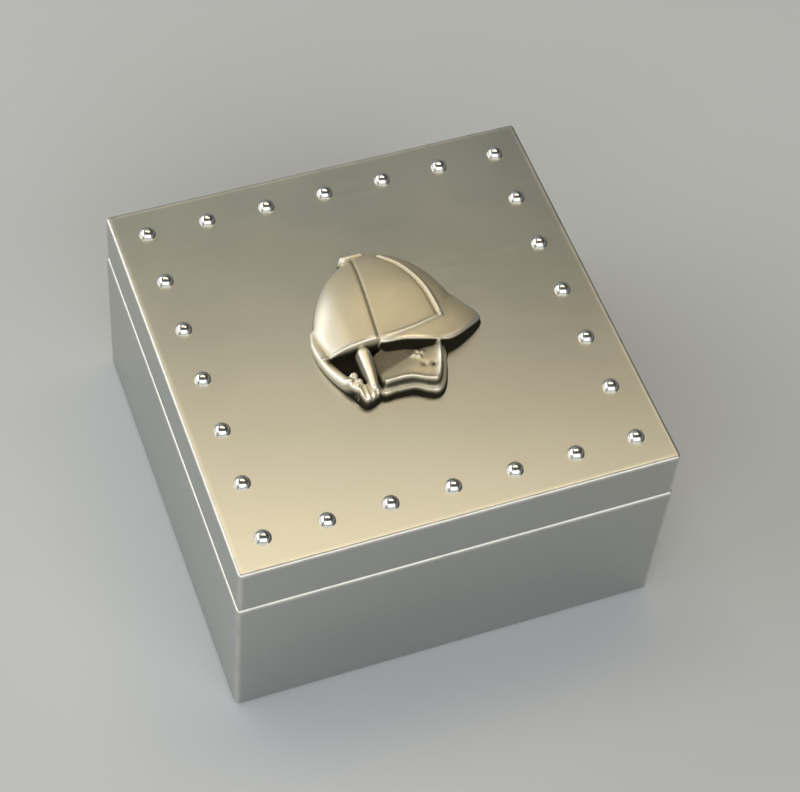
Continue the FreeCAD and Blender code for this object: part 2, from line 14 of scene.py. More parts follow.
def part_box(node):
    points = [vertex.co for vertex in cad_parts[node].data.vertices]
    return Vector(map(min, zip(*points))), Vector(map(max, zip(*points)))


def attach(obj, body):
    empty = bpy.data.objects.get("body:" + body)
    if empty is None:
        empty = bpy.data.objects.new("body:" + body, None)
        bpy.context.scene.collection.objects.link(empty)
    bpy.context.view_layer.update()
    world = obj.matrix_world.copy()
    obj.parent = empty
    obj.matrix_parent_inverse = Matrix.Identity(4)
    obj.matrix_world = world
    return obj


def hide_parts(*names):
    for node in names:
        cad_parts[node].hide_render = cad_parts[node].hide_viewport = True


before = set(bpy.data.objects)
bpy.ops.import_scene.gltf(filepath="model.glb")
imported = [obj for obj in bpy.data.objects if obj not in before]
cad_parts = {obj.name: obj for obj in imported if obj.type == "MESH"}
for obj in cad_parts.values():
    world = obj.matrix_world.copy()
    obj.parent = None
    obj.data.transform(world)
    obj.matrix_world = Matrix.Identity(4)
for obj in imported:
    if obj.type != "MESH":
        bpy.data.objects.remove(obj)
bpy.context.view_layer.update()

MM = 0.001
LID_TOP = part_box("lid_shell")[1].z

# Camera, fitted to the corners of the lid and the base in the photograph
IMAGE_WIDTH = 800
FOCAL_PIXELS = 2310.7
SENSOR_WIDTH = 36.0
NEAREST_SEEN = 0.01
CAMERA_PLACE = Vector((-0.11432, -0.25316, 0.41624))
CAMERA_RIGHT = Vector((0.93816, -0.34001, 0.06524))
CAMERA_UP = Vector((0.24210, 0.77899, 0.57842))

# Studio: pale surroundings that darken towards one side, and soft lights with their width, height and watts
FLOOR_SIZE = 6.0
SKY_COLOUR = (0.92, 0.96, 1.0)
DARK_SIDE = (0.40, 0.15, 0.90)
SKY_FADE = (0.0, 0.8)
SKY_STRENGTHS = (0.42, 0.07)
WARM_LIGHT = (1.0, 0.84, 0.58)
COOL_LIGHT = (0.80, 1.0, 1.0)
WHITE_LIGHT = (1.0, 0.985, 0.96)
SOFTBOXES = [("top_softbox", (0.08, 0.22, 0.74), (0.7, 0.26), 1.95, WARM_LIGHT),
             ("back_softbox", (0.05, 0.77, 0.66), (0.8, 0.40), 0.3, COOL_LIGHT),
             ("front_softbox", (-0.15, -0.84, 0.62), (2.0, 0.80), 8.5, WHITE_LIGHT),
             ("left_softbox", (-0.80, 0.40, 0.44), (1.3, 0.50), 5.0, WHITE_LIGHT)]

# Finishes: colours, as pairs where a surface varies between two tones
SATIN_TONES = [(0.475, 0.485, 0.458), (0.51, 0.52, 0.492)]
# The paler colour of the rubbed edges, which is also a painted highlight
SATIN_WORN_HIGHLIGHT = (0.68, 0.67, 0.62)
POLISHED_TONES = [(0.74, 0.73, 0.70), (0.80, 0.79, 0.76)]
BRASS_TONES = [(0.58, 0.53, 0.395), (0.67, 0.615, 0.47)]
# Pale for rubbed brass and for the painted highlights on the ridges and the left shoulder
BRASS_RUBBED_HIGHLIGHT = (0.90, 0.86, 0.75)
# Black for the patina in creases and for the painted shade in the hollow and on the shaded walls
BRASS_STAINED_SHADE = (0.016, 0.013, 0.006)
HINGE_TONE = (0.55, 0.54, 0.51)
SCREW_TONE = (0.50, 0.50, 0.50)
MARK_SHADE = 0.85
VELVET_TONES = [(0.004, 0.006, 0.020), (0.016, 0.022, 0.065)]
VELVET_SHEEN = (0.35, 0.45, 0.85)
VELVET_CONTRAST = 0.6
FELT_TONES = [(0.010, 0.010, 0.012), (0.06, 0.06, 0.065)]
FLOOR_TONES = [(0.53, 0.56, 0.59), (0.54, 0.57, 0.60)]

# Finishes: the size of marks, how many times as long they are drawn out, and the depth of a bump
BRUSH_MARK = 0.0002
BRUSH_STRETCH = 60
BRUSH_DEPTH = 0.000004
LACQUER_CLOUD = 0.03
EDGE_RUB = 0.004
SCRATCH = 0.0002
SCRATCH_STRETCH = 6
CAST_GRAIN = 0.0006
CAST_DEPTH = 0.00004
CAST_PATCH = 0.004
TURNING_MARK = 0.0003
TURNING_STRETCH = 20
PILE = 0.00022
PILE_DEPTH = 0.00015
PILE_PATCH = 0.012
FIBRE = 0.0004
FIBRE_STRETCH = 4
FIBRE_DEPTH = 0.0002
FIBRE_CLUMP = 0.003
FLOOR_TOOTH = 0.02

# Finishes: where noise mostly lies, and the roughness that it is turned into
NOISE_RANGE = (0.3, 0.7)
SCRATCH_RANGE = (0.3, 0.8)
SATIN_ROUGHNESS = (0.29, 0.33)
CLOUD_ROUGHNESS = (0.0, 0.03)
WORN_ROUGHNESS = 0.08
POLISHED_ROUGHNESS = (0.16, 0.24)
HINGE_ROUGHNESS = (0.25, 0.42)
BRASS_ROUGHNESS = (0.60, 0.80)
RUBBED_ROUGHNESS = -0.18

# Rubbed edges of the shells, painted paler as a highlight: how far from the outside the rubbing and painted
# highlight start and are full, and their patchiness
EDGE_INSETS = (1.5 * MM, 0.4 * MM)
TOP_INSETS = (1.2 * MM, 0.5 * MM)
CORNER_INSETS = (1.2 * MM, 0.4 * MM)
RUB_NOISE = (0.25, 0.6)
RUB_SHARES = (0.5, 1.0)
SIDEWAYS = 0.7

# Brass: how the attribute of stain and painted light turns into patina with painted shade, rubbed metal with
# painted highlights, and a dull surface
STAIN_SPECKLE = 0.15
STAIN_SHADE_RANGE = (0.2, 1.0)
RUBBED_RANGE = (-0.8, -0.1)
DULL_FROM = 0.5
DULL_METALLIC = 0.4

# Linings: covered boards with rounded edges, and a felt sheet
BOARD_STEPS = 40
BOARD_SOFTNESS = 2 * MM
BOARD_SWELL = 0.15
FELT_SOFTNESS = 0.6 * MM
EDGE_POWER = 0.4

# Helmet, in millimetres: a domed crown cut off at its rim, with a peak to the right
GRID_STEP = 0.11
GRID_LOW = (-18.0, -19.0)
GRID_HIGH = (20.5, 21.5)
CAST_SOFTNESS = 0.17
STAIN_SHADE_SOFTNESS = 0.09
WALL_SLOPE = 6.0
WALL_FOOT = 0.3
BELOW_LID = -1.0
CROWN_MIDDLE = (1.8, -5.8)
CROWN_LEFT_HALF = 17.3
CROWN_RIGHT_HALF = 14.9
CROWN_RISE = 24.9
CROWN_RELIEF = 6.1
CROWN_FULLNESS = (2.1, 2.8)
FULLNESS_SPAN = (-12.0, 2.0)
CROWN_TUCK = 1.4
TUCK_SPAN = (-4.0, 5.0)
RIM_Y = -4.2
RIM_DROP = 0.2
BULGE_Y = 10.0
PANEL_STEP = (0.0, 0.8)
FRONT_DROP = 0.35
PEAK_MIDDLE = (4.0, -2.0)
PEAK_HALF_SIZES = (16.2, 10.0)
PEAK_RELIEF = 5.0
PEAK_OUTLINE = [(-3.6, -4.4), (2.1, -6.0), (8.4, -7.5), (11.6, -7.5), (15.6, -5.6), (18.6, -3.3),
                (18.7, -1.6), (16.4, 1.5), (14.4, 5.0), (6.0, 2.0)]
RIM_PIPING = [(-15.4, -3.9), (-9.4, -3.7), (-3.1, -4.1), (4.1, -3.4), (8.0, -2.5), (10.5, -1.8)]
PIPING_HEIGHT = 0.35
PIPING_HALF = 0.45
PIPING_FLOOR = 0.5
CENTRE_SEAM = [(-1.5, 17.6), (-1.8, 14.0), (-2.5, 6.0), (-3.2, -4.0)]
SEAM_DEPTH = 0.28
SEAM_HALF = 0.32
FRONT_RIDGE = [(4.2, 16.4), (7.6, 12.0), (9.9, 6.0), (10.6, 1.0), (10.7, -1.9)]
RIDGE_HEIGHT = 0.32
RIDGE_HALF = 0.40
GROOVE_DEPTH = 0.35
GROOVE_HALF = 0.28
GROOVE_SHIFT = (-0.75, -0.15)
BUTTON = [(-2.9, 18.4), (0.9, 18.6)]
BUTTON_HALVES = (1.05, 1.05)
BUTTON_HEIGHTS = (3.0, 2.8)

# Harness, in millimetres: bands that follow a line, and plates with an outline
PLATE_OUTLINE = [(-15.0, -1.0), (-14.4, -6.0), (-12.0, -11.0), (-10.4, -15.0), (-6.8, -15.0), (0.4, -14.8),
                 (4.2, -17.0), (6.4, -15.6), (8.4, -11.0), (11.0, -5.0), (9.0, 2.0), (-13.0, 2.0)]
PLATE_HEIGHT = 0.8
STRAP_POWERS = (3, 0.4)
REAR_STRAP = [(-13.7, 3.4), (-14.4, 0.6), (-14.4, -2.4), (-13.9, -5.3), (-13.0, -8.0), (-11.7, -10.7),
              (-10.6, -12.4)]
REAR_HALVES = (1.3, 1.2)
REAR_HEIGHTS = (0.9, 3.3)
NEAR_STRAP = [(-6.8, -5.5), (-7.0, -8.4), (-7.2, -11.0), (-7.5, -13.6)]
NEAR_HALVES = (1.75, 1.15)
NEAR_HEIGHTS = (4.1, 4.0)
CUP_OUTLINE = [(-6.2, -14.9), (-3.0, -15.2), (0.4, -15.5), (2.8, -16.9), (4.8, -17.5), (6.6, -16.0),
               (8.4, -11.9), (9.4, -8.2), (9.6, -5.0), (3.0, -4.5), (-4.5, -5.5), (-6.0, -10.0)]
CUP_TILT = (0.35, -0.94)
CUP_SLOPE_SPAN = (4.5, 12.5)
CUP_FACE_LOW = 1.3
CUP_FACE_RISE = 2.5
CUP_LIP = [(-5.8, -13.7), (-3.3, -14.0), (-0.2, -14.2), (2.6, -15.6), (4.7, -16.0), (5.9, -14.7),
           (7.3, -11.4), (8.4, -8.0)]
LIP_HEIGHT = 1.0
LIP_HALF = 0.75
LEDGE_WIDTH = 0.7
LEDGE_HEIGHT = 2.3
CUP_HOLES = [(3.6, -11.6), (5.4, -12.2)]
HOLE_DEPTH = 0.6
HOLE_SPREAD = 0.3
KNOT_OUTLINE = [(-10.3, -12.8), (-10.6, -14.6), (-9.6, -16.2), (-6.7, -15.2), (-6.0, -13.0), (-8.2, -12.0)]
KNOT_HEIGHT = 2.9
KNOT_MIDDLE_X = -8.0
KNOT_RIDGE = 0.25
KNOT_PITCH = 1.1
BEADS = [(-11.5, -11.0), (-9.9, -11.6), (-10.4, -9.9)]
BEAD_RADIUS = 0.95
BEAD_BASE = 2.6
ROSETTE = (3.3, -8.7)
PETALS = 4
PETAL_REACH = 1.35
PETAL_WAVE = 0.35
PETAL_HEIGHT = 0.7
PETAL_EDGE = (0.0, 0.7)
EYE_DEPTH = 0.5
EYE_EDGE = (-0.7, -0.2)

# Stain and painted light on the casting, in millimetres, with slopes and shares: patina in the creases and
# the seam, painted shade in the hollow, on the walls under the rim and the peak and on the low outer walls,
# and rubbed ridges with painted highlights
MEAN_REACH = 0.8
CREASE_DEPTH = 0.6
HARNESS_INSET = (0.0, 0.8)
HARNESS_DOWN = (3.6, 4.2)
HOLLOW_DOWN = (-3.2, -1.6)
PEAK_SHADE_X = (7.0, 8.5)
PEAK_SHADE_TOP = 1.0
RIM_WALL_SLOPE = (0.8, 2.0)
RIM_WALL_LOW = -9.5
OUTER_WALL_SLOPE = (1.5, 4.0)
OUTER_WALL_DOWN = (10.0, 13.0)
OUTER_WALL_SHADE = 0.9
SEAM_STAIN = 0.62
SEAM_STAIN_HALF = 0.36
RUB_START = 0.08
RUB_REACH = 0.5
SHOULDER_HIGHLIGHT = 0.5
SHOULDER_LEFT = (5.0, 11.0)
PIPING_RUB = 0.7
PIPING_RUB_HALF = 0.4
RIDGE_RUB_HALF = 0.35


class Finish:
    """A node material that is built up around one Principled shader."""

    def __init__(self, name, **constants):
        self.material = bpy.data.materials.new(name)
        self.material.use_nodes = True
        self.nodes = self.material.node_tree.nodes
        self.links = self.material.node_tree.links
        self.shader = self.nodes["Principled BSDF"]
        self.place = self.add("TexCoord").outputs["Object"]
        for socket, value in constants.items():
            self.shader.inputs[socket.replace("_", " ")].default_value = value

    def add(self, kind, inputs=(), **settings):
        """Adds a node, and sets or links its inputs."""
        node = self.nodes.new(f"ShaderNode{kind}")
        for name, value in settings.items():
            setattr(node, name, value)
        for socket, value in dict(inputs).items():
            self.join(value, node.inputs[socket])
        return node

    def join(self, value, socket):
        """Links an output to a socket, or sets the socket to a constant."""
        if isinstance(value, bpy.types.NodeSocket):
            self.links.new(value, socket)
        else:
            socket.default_value = value

    def drive(self, socket, value):
        """Links an output to one of the shader's sockets."""
        self.join(value, self.shader.inputs[socket])

    def noise(self, size, detail=2.0, stretch=(1, 1, 1)):
        """Noise with marks of this size in metres, stretched along the axes."""
        scale = [1 / (size * times) for times in stretch]
        mapping = self.add("Mapping", {"Vector": self.place, "Scale": scale})
        texture = self.add("TexNoise", {"Vector": mapping.outputs["Vector"], "Scale": 1.0, "Detail": detail})
        return texture.outputs["Fac"]

    def combine(self, operation, *values):
        """Works out a number from one or two others."""
        node = self.add("Math", operation=operation)
        for value, socket in zip(values, node.inputs):
            self.join(value, socket)
        return node.outputs["Value"]

    def between(self, value, low, high, to_low=0.0, to_high=1.0):
        """Maps a range of numbers smoothly to another."""
        node = self.add("MapRange", {"Value": value, "From Min": low, "From Max": high,
                                     "To Min": to_low, "To Max": to_high}, interpolation_type="SMOOTHSTEP")
        return node.outputs["Result"]

    def mix(self, share, first, second):
        """Mixes two colours."""
        node = self.add("MixRGB", {"Fac": share, "Color1": first, "Color2": second})
        return node.outputs["Color"]

    def mottle(self, share, tones):
        """Goes from the first of two tones to the second."""
        return self.mix(share, *(colour(*tone) for tone in tones))

    def bump(self, height, depth, strength):
        """Roughens the surface by a height of this depth in metres."""
        node = self.add("Bump", {"Height": height, "Distance": depth, "Strength": strength})
        self.drive("Normal", node.outputs["Normal"])


def colour(red, green, blue):
    """A colour with full alpha."""
    return (red, green, blue, 1.0)


def edge_wear_and_highlight(finish, node):
    """Where the top edges and the upright corners of a square shell are rubbed and painted bright as a
    highlight, from 0 to 1.
    """
    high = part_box(node)[1]
    place = finish.add("SeparateXYZ", {"Vector": finish.place}).outputs
    across, along = (finish.combine("ABSOLUTE", place[axis]) for axis in "XY")
    outermost = finish.combine("MAXIMUM", across, along)
    innermost = finish.combine("MINIMUM", across, along)
    at_edge = finish.between(outermost, *(high.x - inset for inset in EDGE_INSETS))
    at_top = finish.between(place["Z"], *(high.z - inset for inset in TOP_INSETS))
    at_corner = finish.between(innermost, *(high.x - inset for inset in CORNER_INSETS))
    worn_and_highlit = finish.combine("MAXIMUM", finish.combine("MULTIPLY", at_edge, at_top), at_corner)
    patchy = finish.between(finish.noise(EDGE_RUB), *RUB_NOISE, *RUB_SHARES)
    return finish.combine("MULTIPLY", worn_and_highlit, patchy)


def satin_metal(name, node):
    """Nickel, finely brushed along each face, with faint clouds in the lacquer and rubbed edges painted
    bright as a highlight.
    """
    finish = Finish(name, Metallic=1.0)
    normal = finish.add("SeparateXYZ", {"Vector": finish.add("NewGeometry").outputs["True Normal"]})
    faces_sideways = finish.combine("GREATER_THAN", finish.combine("ABSOLUTE", normal.outputs["X"]), SIDEWAYS)
    along_x = finish.noise(BRUSH_MARK, stretch=(BRUSH_STRETCH, 1, 1))
    along_y = finish.noise(BRUSH_MARK, stretch=(1, BRUSH_STRETCH, 1))
    streaks = finish.mix(faces_sideways, along_x, along_y)
    clouds = finish.noise(LACQUER_CLOUD, detail=3.0)
    worn_and_highlit = edge_wear_and_highlight(finish, node)
    # The top edges and upright corners get a paler colour, which is wear and a painted highlight.
    finish.drive("Base Color", finish.mix(worn_and_highlit, finish.mottle(clouds, SATIN_TONES), colour(*SATIN_WORN_HIGHLIGHT)))
    rough = finish.combine("ADD", finish.between(streaks, *NOISE_RANGE, *SATIN_ROUGHNESS),
                           finish.between(clouds, *NOISE_RANGE, *CLOUD_ROUGHNESS))
    rougher = finish.combine("MULTIPLY", worn_and_highlit, WORN_ROUGHNESS)
    finish.drive("Roughness", finish.combine("ADD", rough, rougher))
    finish.bump(streaks, BRUSH_DEPTH, strength=0.2)
    return finish.material


def polished_metal():
    """Polished nickel with hairline scratches."""
    finish = Finish("polished_nickel", Metallic=1.0)
    scratches = finish.noise(SCRATCH, detail=4.0, stretch=(1, SCRATCH_STRETCH, 1))
    finish.drive("Base Color", finish.mottle(scratches, POLISHED_TONES))
    finish.drive("Roughness", finish.between(scratches, *SCRATCH_RANGE, *POLISHED_ROUGHNESS))
    return finish.material


def antique_brass():
    """Pale cast brass, rubbed bright on its ridges with painted highlights, with patina in its creases and
    painted shade in the hollows.
    """
    finish = Finish("antique_brass", Specular_IOR_Level=0.2)
    stain_shade_and_highlight = finish.add("Attribute", attribute_name="stain_shade_and_highlight").outputs["Fac"]
    grain = finish.noise(CAST_GRAIN, detail=4.0)
    patches = finish.noise(CAST_PATCH, detail=3.0)
    speckled = finish.combine("ADD", stain_shade_and_highlight, finish.combine("MULTIPLY", grain, STAIN_SPECKLE))
    stained_and_shaded = finish.between(speckled, *STAIN_SHADE_RANGE)
    # Rubbed ridges and painted highlights get the pale colour.
    rubbed_and_highlit = finish.between(stain_shade_and_highlight, *RUBBED_RANGE, 1.0, 0.0)
    shown = finish.mix(rubbed_and_highlit, finish.mottle(patches, BRASS_TONES), colour(*BRASS_RUBBED_HIGHLIGHT))
    # The dark colour is patina in the creases and painted shade in the hollow and on the walls under the rim
    # and the peak.
    finish.drive("Base Color", finish.mix(stained_and_shaded, shown, colour(*BRASS_STAINED_SHADE)))
    finish.drive("Metallic", finish.between(stained_and_shaded, DULL_FROM, 1.0, 1.0, DULL_METALLIC))
    finish.drive("Roughness", finish.combine("ADD", finish.between(stained_and_shaded, 0.0, 1.0, *BRASS_ROUGHNESS),
                                             finish.between(rubbed_and_highlit, 0.0, 1.0, 0.0, RUBBED_ROUGHNESS)))
    finish.bump(grain, CAST_DEPTH, strength=0.35)
    return finish.material


def hinge_metal(name, tone):
    """Plain turned or cut metal."""
    finish = Finish(name, Metallic=1.0)
    marks = finish.noise(TURNING_MARK, detail=3.0, stretch=(TURNING_STRETCH, 1, 1))
    finish.drive("Base Color", finish.mottle(marks, [tone, [share * MARK_SHADE for share in tone]]))
    finish.drive("Roughness", finish.between(marks, *NOISE_RANGE, *HINGE_ROUGHNESS))
    return finish.material


def velvet():
    """Midnight blue velvet with a short pile that lies in soft patches."""
    finish = Finish("velvet", Roughness=0.9, Sheen_Weight=0.7, Sheen_Roughness=0.35,
                    Sheen_Tint=colour(*VELVET_SHEEN))
    pile = finish.noise(PILE, detail=3.0)
    patches = finish.noise(PILE_PATCH, detail=3.0)
    shade = finish.combine("ADD", finish.combine("MULTIPLY", pile, VELVET_CONTRAST),
                           finish.combine("MULTIPLY", patches, VELVET_CONTRAST))
    finish.drive("Base Color", finish.mottle(shade, VELVET_TONES))
    finish.bump(pile, PILE_DEPTH, strength=0.8)
    return finish.material


def felt():
    """Black felt with matted fibres."""
    finish = Finish("felt", Roughness=0.95, Sheen_Weight=0.25)
    fibres = finish.noise(FIBRE, detail=5.0, stretch=(FIBRE_STRETCH, 1, 1))
    clumps = finish.noise(FIBRE_CLUMP, detail=3.0)
    finish.drive("Base Color", finish.mottle(finish.combine("MULTIPLY", fibres, clumps), FELT_TONES))
    finish.bump(fibres, FIBRE_DEPTH, strength=0.8)
    return finish.material


def floor_finish():
    """A plain pale surface with a very faint tooth."""
    finish = Finish("pale_floor", Roughness=0.85)
    finish.drive("Base Color", finish.mottle(finish.noise(FLOOR_TOOTH), FLOOR_TONES))
    return finish.material


def paint(node, material):
    """Gives a CAD node its finish."""
    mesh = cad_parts[node].data
    mesh.materials.clear()
    mesh.materials.append(material)


def new_piece(name, mesh, node, body, material):
    """Adds a modelled piece that stands for a CAD node."""
    piece = bpy.data.objects.new(name, mesh)
    bpy.context.scene.collection.objects.link(piece)
    mesh.materials.append(material)
    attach(piece, body)
    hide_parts(node)
    return piece


def smooth_line(points, closed=False, steps=8):
    """A curve through given points, as many short steps."""
    points = np.array(points, float)
    if closed:
        points = np.vstack([points[-1:], points, points[:2]])
    else:
        points = np.vstack([2 * points[:1] - points[1:2], points, 2 * points[-1:] - points[-2:-1]])
    share = np.linspace(0, 1, steps, endpoint=False)[:, None]
    spans = []
    for before, start, end, after in zip(points, points[1:], points[2:], points[3:]):
        spans.append(0.5 * (2 * start + (end - before) * share
                            + (2 * before - 5 * start + 4 * end - after) * share ** 2
                            + (3 * start - before - 3 * end + after) * share ** 3))
    line = np.vstack(spans)
    return line if closed else np.vstack([line, points[-2:-1]])


def distance_to(x, y, line, closed=False):
    """The distance from each grid point to a line, and how far along it the nearest point is, as a share."""
    ends = np.roll(line, -1, axis=0) if closed else line[1:]
    starts = line if closed else line[:-1]
    nearest = np.full(x.shape, np.inf)
    along = np.zeros(x.shape)
    for number, (start, end) in enumerate(zip(starts, ends)):
        run = end - start
        share = np.clip(((x - start[0]) * run[0] + (y - start[1]) * run[1]) / (run @ run), 0, 1)
        gap = np.hypot(x - start[0] - share * run[0], y - start[1] - share * run[1])
        along = np.where(gap < nearest, (number + share) / len(starts), along)
        nearest = np.minimum(nearest, gap)
    return nearest, along


def depth_inside(x, y, outline):
    """The distance from each grid point to a closed outline, negative outside it."""
    line = smooth_line(outline, closed=True)
    gap, _ = distance_to(x, y, line, closed=True)
    inside = np.zeros(x.shape, bool)
    for start, end in zip(line, np.roll(line, -1, axis=0)):
        crosses = (start[1] > y) != (end[1] > y)
        rise = np.where(crosses, end[1] - start[1], 1)
        inside ^= crosses & (x < start[0] + (y - start[1]) / rise * (end[0] - start[0]))
    return np.where(inside, gap, -gap)


def smooth_step(value, low, high):
    """Goes smoothly from 0 at low to 1 at high."""
    share = np.clip((value - low) / (high - low), 0, 1)
    return share * share * (3 - 2 * share)


def dome(x, y, middle, half_sizes, relief, fullness=2.0):
    """The height of a rounded dome, which is below the lid outside its edge."""
    reach = np.hypot((x - middle[0]) / half_sizes[0], (y - middle[1]) / half_sizes[1])
    inside = relief * np.clip(1 - reach ** fullness, 0, 1) ** (1 / fullness)
    return np.where(reach < 1, inside, BELOW_LID)


def ball(x, y, middle, radius, base):
    """The height of a small ball that stands on a form of this height."""
    gap = np.hypot(x - middle[0], y - middle[1])
    return np.where(gap < radius, base + np.sqrt(np.clip(radius ** 2 - gap ** 2, 0, None)), BELOW_LID)


def walled(height, edge):
    """A form of this height that ends in a drafted wall, from its depth inside its outline."""
    return np.minimum(height, (edge + WALL_FOOT) * WALL_SLOPE)


def band(x, y, line, half_widths, heights):
    """The height of a strap with a rounded top, with a half width and a height for each end."""
    gap, along = distance_to(x, y, smooth_line(line))
    half_width = half_widths[0] + (half_widths[1] - half_widths[0]) * along
    height = heights[0] + (heights[1] - heights[0]) * along
    across_power, top_power = STRAP_POWERS
    rounded = height * np.clip(1 - (gap / half_width) ** across_power, 0, 1) ** top_power
    return np.where(gap < half_width, rounded, BELOW_LID)


def welt(x, y, line, half_width):
    """A soft ridge along a line, from 0 to 1."""
    gap, _ = distance_to(x, y, smooth_line(line))
    return np.exp(-(gap / half_width) ** 2)


def beyond(x, y, line):
    """How far each grid point lies to the right of a line that runs down the helmet."""
    path = smooth_line(line)[::-1]
    return x - np.interp(y, path[:, 1], path[:, 0])


def blur(grid, radius):
    """Softens a grid of heights, or of stain and painted light, as a casting is soft."""
    reach = max(1, int(3 * radius / GRID_STEP))
    weights = np.exp(-0.5 * (np.arange(-reach, reach + 1) * GRID_STEP / radius) ** 2)
    weights /= weights.sum()
    for axis in (0, 1):
        padding = [(reach, reach) if side == axis else (0, 0) for side in (0, 1)]
        padded = np.pad(grid, padding, mode="edge")
        grid = sum(weight * np.take(padded, range(start, start + grid.shape[axis]), axis=axis)
                   for start, weight in enumerate(weights))
    return grid


def crown_heights(x, y):
    """The crown with its seam, its front ridge and its lower front panel."""
    left_half = CROWN_LEFT_HALF - CROWN_TUCK * smooth_step(-y, *TUCK_SPAN)
    half_width = np.where(x < CROWN_MIDDLE[0], left_half, CROWN_RIGHT_HALF)
    fullness = np.interp(x, FULLNESS_SPAN, CROWN_FULLNESS)
    crown = dome(x, y, CROWN_MIDDLE, (half_width, CROWN_RISE), CROWN_RELIEF, fullness)
    crown = np.where(crown > 0, crown * (1 - RIM_DROP * smooth_step(-y, -BULGE_Y, -RIM_Y)), crown)
    front = smooth_step(beyond(x, y, FRONT_RIDGE), *PANEL_STEP) * (y > RIM_Y)
    groove = [(ridge_x + GROOVE_SHIFT[0], ridge_y + GROOVE_SHIFT[1]) for ridge_x, ridge_y in FRONT_RIDGE]
    crown = crown - FRONT_DROP * front
    crown = crown - SEAM_DEPTH * welt(x, y, CENTRE_SEAM, SEAM_HALF)
    crown = crown + RIDGE_HEIGHT * welt(x, y, FRONT_RIDGE, RIDGE_HALF)
    crown = crown - GROOVE_DEPTH * welt(x, y, groove, GROOVE_HALF)
    return walled(crown, y - RIM_Y)


def peak_heights(x, y):
    """The peak, which carries the crown's curve on to the tip."""
    peak = dome(x, y, PEAK_MIDDLE, PEAK_HALF_SIZES, PEAK_RELIEF)
    edge = depth_inside(x, y, PEAK_OUTLINE)
    above_piping = y - np.interp(x, *zip(*RIM_PIPING))
    behind_ridge = -beyond(x, y, FRONT_RIDGE)
    under_panel = smooth_step(above_piping, *PANEL_STEP) * smooth_step(behind_ridge, *PANEL_STEP)
    return walled(peak, edge) - PEAK_RELIEF * under_panel


def rosette_heights(x, y):
    """A small flower on the cup's face, with an eye in its middle."""
    gap = np.hypot(x - ROSETTE[0], y - ROSETTE[1])
    reach = PETAL_REACH + PETAL_WAVE * np.cos(PETALS * np.arctan2(y - ROSETTE[1], x - ROSETTE[0]))
    return PETAL_HEIGHT * smooth_step(reach - gap, *PETAL_EDGE) - EYE_DEPTH * smooth_step(-gap, *EYE_EDGE)


def cup_heights(x, y):
    """The chin cup, whose face falls away into the hollow, with a raised lip above a ledge."""
    slope = smooth_step(CUP_TILT[0] * x + CUP_TILT[1] * y, *CUP_SLOPE_SPAN)
    face = CUP_FACE_LOW + CUP_FACE_RISE * slope
    lip = LIP_HEIGHT * welt(x, y, CUP_LIP, LIP_HALF)
    holes = sum(HOLE_DEPTH * np.exp(-((x - hole_x) ** 2 + (y - hole_y) ** 2) / HOLE_SPREAD)
                for hole_x, hole_y in CUP_HOLES)
    edge = depth_inside(x, y, CUP_OUTLINE)
    return np.maximum(walled(face + lip - holes, edge - LEDGE_WIDTH), walled(LEDGE_HEIGHT, edge))


def harness_heights(x, y):
    """The straps, the knot, the beads and the cup, on their back plate."""
    plate = walled(PLATE_HEIGHT, depth_inside(x, y, PLATE_OUTLINE))
    rear = band(x, y, REAR_STRAP, REAR_HALVES, REAR_HEIGHTS)
    near = band(x, y, NEAR_STRAP, NEAR_HALVES, NEAR_HEIGHTS)
    knot_ridges = KNOT_RIDGE * np.cos((x - KNOT_MIDDLE_X) * 2 * math.pi / KNOT_PITCH)
    knot = walled(KNOT_HEIGHT + knot_ridges, depth_inside(x, y, KNOT_OUTLINE))
    beads = [ball(x, y, bead, BEAD_RADIUS, BEAD_BASE) for bead in BEADS]
    cup = cup_heights(x, y) + rosette_heights(x, y)
    return np.maximum.reduce([plate, rear, near, knot, cup] + beads)


def helmet_heights(x, y):
    """All the helmet's forms together, with the piping along its rim."""
    button = band(x, y, BUTTON, BUTTON_HALVES, BUTTON_HEIGHTS)
    heights = np.maximum.reduce([crown_heights(x, y), peak_heights(x, y), harness_heights(x, y), button])
    heights = heights + PIPING_HEIGHT * welt(x, y, RIM_PIPING, PIPING_HALF) * (heights > PIPING_FLOOR)
    return blur(np.maximum(heights, BELOW_LID), CAST_SOFTNESS)


